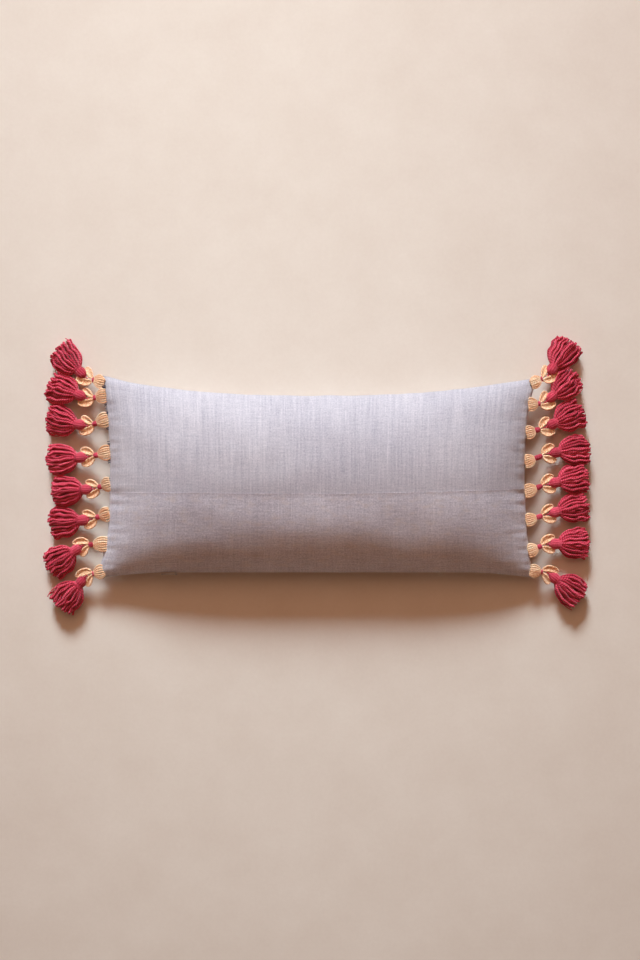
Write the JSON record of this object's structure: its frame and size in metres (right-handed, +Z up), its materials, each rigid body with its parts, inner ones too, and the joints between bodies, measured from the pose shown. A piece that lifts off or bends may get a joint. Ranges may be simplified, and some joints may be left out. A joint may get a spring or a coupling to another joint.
{
  "type": "throw pillow",
  "caption": "Long lumbar throw pillow with a slub cotton cover, a concealed zip and yarn tassels hung from looped skeins along both short sides.",
  "frame": {"origin": "middle of the flat patch that the back panel rests on", "axes": "+X along the pillow, +Y across it away from the zip, +Z up through the front"},
  "size_m": [0.9716, 0.4962, 0.1226],
  "materials": {
    "front_upper_cloth": "pale grey-lavender handwoven slub cotton, slubs running across the pillow",
    "front_lower_cloth": "the same cotton turned, its slubs running along the pillow, with faint pink and straw threads",
    "back_cloth": "plain grey-lavender cotton",
    "casing_calico": "unbleached plain cotton",
    "fibre": "loose white polyester fibre",
    "peach_yarn": "soft twisted peach cotton yarn",
    "red_wrap_yarn": "crimson cotton yarn wound tight",
    "red_yarn": "loose wavy crimson cotton yarn",
    "zip_tape": "woven grey zip tape",
    "zip_coil": "grey nylon coil",
    "zip_metal": "small plated zip slider and pull"
  },
  "bodies": {
    "pillow": {"front_upper_panel": "front_upper_cloth", "front_lower_panel": "front_lower_cloth", "back_panel": "back_cloth", "insert_front_panel": "casing_calico", "insert_back_panel": "casing_calico", "fibre_fill": "fibre", "zip_front_tape": "zip_tape", "zip_back_tape": "zip_tape", "zip_front_coil": "zip_coil", "zip_back_coil": "zip_coil"},
    "slider": {"zip_slider": "zip_metal"},
    "pull": {"zip_pull": "zip_metal"},
    "left_loop_1": {"left_peach_loop_1": "peach_yarn", "left_waist_wrap_1": "red_wrap_yarn"},
    "left_tassel_1": {"left_tassel_1": "red_yarn"},
    "left_loop_2": {"left_peach_loop_2": "peach_yarn", "left_waist_wrap_2": "red_wrap_yarn"},
    "left_tassel_2": {"left_tassel_2": "red_yarn"},
    "left_loop_3": {"left_peach_loop_3": "peach_yarn", "left_waist_wrap_3": "red_wrap_yarn"},
    "left_tassel_3": {"left_tassel_3": "red_yarn"},
    "left_loop_4": {"left_peach_loop_4": "peach_yarn", "left_waist_wrap_4": "red_wrap_yarn"},
    "left_tassel_4": {"left_tassel_4": "red_yarn"},
    "left_loop_5": {"left_peach_loop_5": "peach_yarn", "left_waist_wrap_5": "red_wrap_yarn"},
    "left_tassel_5": {"left_tassel_5": "red_yarn"},
    "left_loop_6": {"left_peach_loop_6": "peach_yarn", "left_waist_wrap_6": "red_wrap_yarn"},
    "left_tassel_6": {"left_tassel_6": "red_yarn"},
    "left_loop_7": {"left_peach_loop_7": "peach_yarn", "left_waist_wrap_7": "red_wrap_yarn"},
    "left_tassel_7": {"left_tassel_7": "red_yarn"},
    "left_loop_8": {"left_peach_loop_8": "peach_yarn", "left_waist_wrap_8": "red_wrap_yarn"},
    "left_tassel_8": {"left_tassel_8": "red_yarn"},
    "right_loop_1": {"right_peach_loop_1": "peach_yarn", "right_waist_wrap_1": "red_wrap_yarn"},
    "right_tassel_1": {"right_tassel_1": "red_yarn"},
    "right_loop_2": {"right_peach_loop_2": "peach_yarn", "right_waist_wrap_2": "red_wrap_yarn"},
    "right_tassel_2": {"right_tassel_2": "red_yarn"},
    "right_loop_3": {"right_peach_loop_3": "peach_yarn", "right_waist_wrap_3": "red_wrap_yarn"},
    "right_tassel_3": {"right_tassel_3": "red_yarn"},
    "right_loop_4": {"right_peach_loop_4": "peach_yarn", "right_waist_wrap_4": "red_wrap_yarn"},
    "right_tassel_4": {"right_tassel_4": "red_yarn"},
    "right_loop_5": {"right_peach_loop_5": "peach_yarn", "right_waist_wrap_5": "red_wrap_yarn"},
    "right_tassel_5": {"right_tassel_5": "red_yarn"},
    "right_loop_6": {"right_peach_loop_6": "peach_yarn", "right_waist_wrap_6": "red_wrap_yarn"},
    "right_tassel_6": {"right_tassel_6": "red_yarn"},
    "right_loop_7": {"right_peach_loop_7": "peach_yarn", "right_waist_wrap_7": "red_wrap_yarn"},
    "right_tassel_7": {"right_tassel_7": "red_yarn"},
    "right_loop_8": {"right_peach_loop_8": "peach_yarn", "right_waist_wrap_8": "red_wrap_yarn"},
    "right_tassel_8": {"right_tassel_8": "red_yarn"}
  },
  "joints": [
    {"name": "zip_slide", "type": "slide", "parent": "pillow", "child": "slider", "axis": [1, 0, 0], "range_m": [0, 0.498]},
    {"name": "zip_pull_swing", "type": "hinge", "parent": "slider", "child": "pull", "pos_m": [-0.2491, -0.1699, 0.044], "axis": [0, 0, 1], "range_deg": [0, 170]},
    {"name": "left_loop_swing_1", "type": "hinge", "parent": "pillow", "child": "left_loop_1", "pos_m": [-0.38361, 0.16988, 0.03283], "axis": [-0.1525, 0.9883, 0], "range_deg": [-40, 50]},
    {"name": "left_tassel_swing_1", "type": "hinge", "parent": "left_loop_1", "child": "left_tassel_1", "pos_m": [-0.40753, 0.17497, 0.024], "axis": [0.682, 0.7314, 0], "range_deg": [-60, 45]},
    {"name": "left_loop_swing_2", "type": "hinge", "parent": "pillow", "child": "left_loop_2", "pos_m": [-0.37987, 0.14361, 0.0364], "axis": [-0.1294, 0.9916, 0], "range_deg": [-40, 50]},
    {"name": "left_tassel_swing_2", "type": "hinge", "parent": "left_loop_2", "child": "left_tassel_2", "pos_m": [-0.40568, 0.13906, 0.024], "axis": [0.3746, 0.9272, 0], "range_deg": [-60, 45]},
    {"name": "left_loop_swing_3", "type": "hinge", "parent": "pillow", "child": "left_loop_3", "pos_m": [-0.37519, 0.10157, 0.04043], "axis": [-0.0919, 0.9958, 0], "range_deg": [-40, 50]},
    {"name": "left_tassel_swing_3", "type": "hinge", "parent": "left_loop_3", "child": "left_tassel_3", "pos_m": [-0.40529, 0.09062, 0.024], "axis": [0.1736, 0.9848, 0], "range_deg": [-60, 45]},
    {"name": "left_loop_swing_4", "type": "hinge", "parent": "pillow", "child": "left_loop_4", "pos_m": [-0.37137, 0.04378, 0.04337], "axis": [-0.0397, 0.9992, 0], "range_deg": [-40, 50]},
    {"name": "left_tassel_swing_4", "type": "hinge", "parent": "left_loop_4", "child": "left_tassel_4", "pos_m": [-0.40335, 0.03698, 0.024], "axis": [-0.0872, 0.9962, 0], "range_deg": [-60, 45]},
    {"name": "left_loop_swing_5", "type": "hinge", "parent": "pillow", "child": "left_loop_5", "pos_m": [-0.37057, -0.01226, 0.04395], "axis": [0.0111, 0.9999, 0], "range_deg": [-40, 50]},
    {"name": "left_tassel_swing_5", "type": "hinge", "parent": "left_loop_5", "child": "left_tassel_5", "pos_m": [-0.39436, -0.01999, 0.024], "axis": [-0.0698, 0.9976, 0], "range_deg": [-60, 45]},
    {"name": "left_loop_swing_6", "type": "hinge", "parent": "pillow", "child": "left_loop_6", "pos_m": [-0.37241, -0.0648, 0.0426], "axis": [0.0588, 0.9983, 0], "range_deg": [-40, 50]},
    {"name": "left_tassel_swing_6", "type": "hinge", "parent": "left_loop_6", "child": "left_tassel_6", "pos_m": [-0.39947, -0.07359, 0.024], "axis": [-0.1219, 0.9925, 0], "range_deg": [-60, 45]},
    {"name": "left_loop_swing_7", "type": "hinge", "parent": "pillow", "child": "left_loop_7", "pos_m": [-0.37675, -0.11734, 0.03914], "axis": [0.106, 0.9944, 0], "range_deg": [-40, 50]},
    {"name": "left_tassel_swing_7", "type": "hinge", "parent": "left_loop_7", "child": "left_tassel_7", "pos_m": [-0.41373, -0.11928, 0.024], "axis": [-0.5446, 0.8387, 0], "range_deg": [-60, 45]},
    {"name": "left_loop_swing_8", "type": "hinge", "parent": "pillow", "child": "left_loop_8", "pos_m": [-0.38321, -0.16725, 0.03323], "axis": [0.1502, 0.9887, 0], "range_deg": [-40, 50]},
    {"name": "left_tassel_swing_8", "type": "hinge", "parent": "left_loop_8", "child": "left_tassel_8", "pos_m": [-0.40803, -0.17253, 0.024], "axis": [-0.7431, 0.6691, 0], "range_deg": [-60, 45]},
    {"name": "right_loop_swing_1", "type": "hinge", "parent": "pillow", "child": "right_loop_1", "pos_m": [0.38347, 0.169, 0.03296], "axis": [-0.1517, -0.9884, 0], "range_deg": [-40, 50]},
    {"name": "right_tassel_swing_1", "type": "hinge", "parent": "right_loop_1", "child": "right_tassel_1", "pos_m": [0.40709, 0.17855, 0.024], "axis": [0.8387, -0.5446, 0], "range_deg": [-60, 45]},
    {"name": "right_loop_swing_2", "type": "hinge", "parent": "pillow", "child": "right_loop_2", "pos_m": [0.37803, 0.12872, 0.03805], "axis": [-0.1161, -0.9932, 0], "range_deg": [-40, 50]},
    {"name": "right_tassel_swing_2", "type": "hinge", "parent": "right_loop_2", "child": "right_tassel_2", "pos_m": [0.40201, 0.13209, 0.024], "axis": [0.6293, -0.7771, 0], "range_deg": [-60, 45]},
    {"name": "right_loop_swing_3", "type": "hinge", "parent": "pillow", "child": "right_loop_3", "pos_m": [0.37338, 0.07968, 0.04186], "axis": [-0.0722, -0.9974, 0], "range_deg": [-40, 50]},
    {"name": "right_tassel_swing_3", "type": "hinge", "parent": "right_loop_3", "child": "right_tassel_3", "pos_m": [0.40119, 0.08766, 0.024], "axis": [0.4067, -0.9135, 0], "range_deg": [-60, 45]},
    {"name": "right_loop_swing_4", "type": "hinge", "parent": "pillow", "child": "right_loop_4", "pos_m": [0.37088, 0.0289, 0.04373], "axis": [-0.0262, -0.9997, 0], "range_deg": [-40, 50]},
    {"name": "right_tassel_swing_4", "type": "hinge", "parent": "right_loop_4", "child": "right_tassel_4", "pos_m": [0.40572, 0.04158, 0.024], "axis": [0.1564, -0.9877, 0], "range_deg": [-60, 45]},
    {"name": "right_loop_swing_5", "type": "hinge", "parent": "pillow", "child": "right_loop_5", "pos_m": [0.37075, -0.02364, 0.04382], "axis": [0.0215, -0.9998, 0], "range_deg": [-40, 50]},
    {"name": "right_tassel_swing_5", "type": "hinge", "parent": "right_loop_5", "child": "right_tassel_5", "pos_m": [0.40489, -0.01255, 0.024], "axis": [0.2079, -0.9781, 0], "range_deg": [-60, 45]},
    {"name": "right_loop_swing_6", "type": "hinge", "parent": "pillow", "child": "right_loop_6", "pos_m": [0.37302, -0.07443, 0.04214], "axis": [0.0675, -0.9977, 0], "range_deg": [-40, 50]},
    {"name": "right_tassel_swing_6", "type": "hinge", "parent": "right_loop_6", "child": "right_tassel_6", "pos_m": [0.40527, -0.06579, 0.024], "axis": [0.2419, -0.9703, 0], "range_deg": [-60, 45]},
    {"name": "right_loop_swing_7", "type": "hinge", "parent": "pillow", "child": "right_loop_7", "pos_m": [0.37792, -0.12785, 0.03813], "axis": [0.1154, -0.9933, 0], "range_deg": [-40, 50]},
    {"name": "right_tassel_swing_7", "type": "hinge", "parent": "right_loop_7", "child": "right_tassel_7", "pos_m": [0.4049, -0.11803, 0.024], "axis": [0.0175, -0.9998, 0], "range_deg": [-60, 45]},
    {"name": "right_loop_swing_8", "type": "hinge", "parent": "pillow", "child": "right_loop_8", "pos_m": [0.38294, -0.1655, 0.03349], "axis": [0.1487, -0.9889, 0], "range_deg": [-40, 50]},
    {"name": "right_tassel_swing_8", "type": "hinge", "parent": "right_loop_8", "child": "right_tassel_8", "pos_m": [0.40702, -0.16803, 0.024], "axis": [-0.6157, -0.788, 0], "range_deg": [-60, 45]}
  ]
}
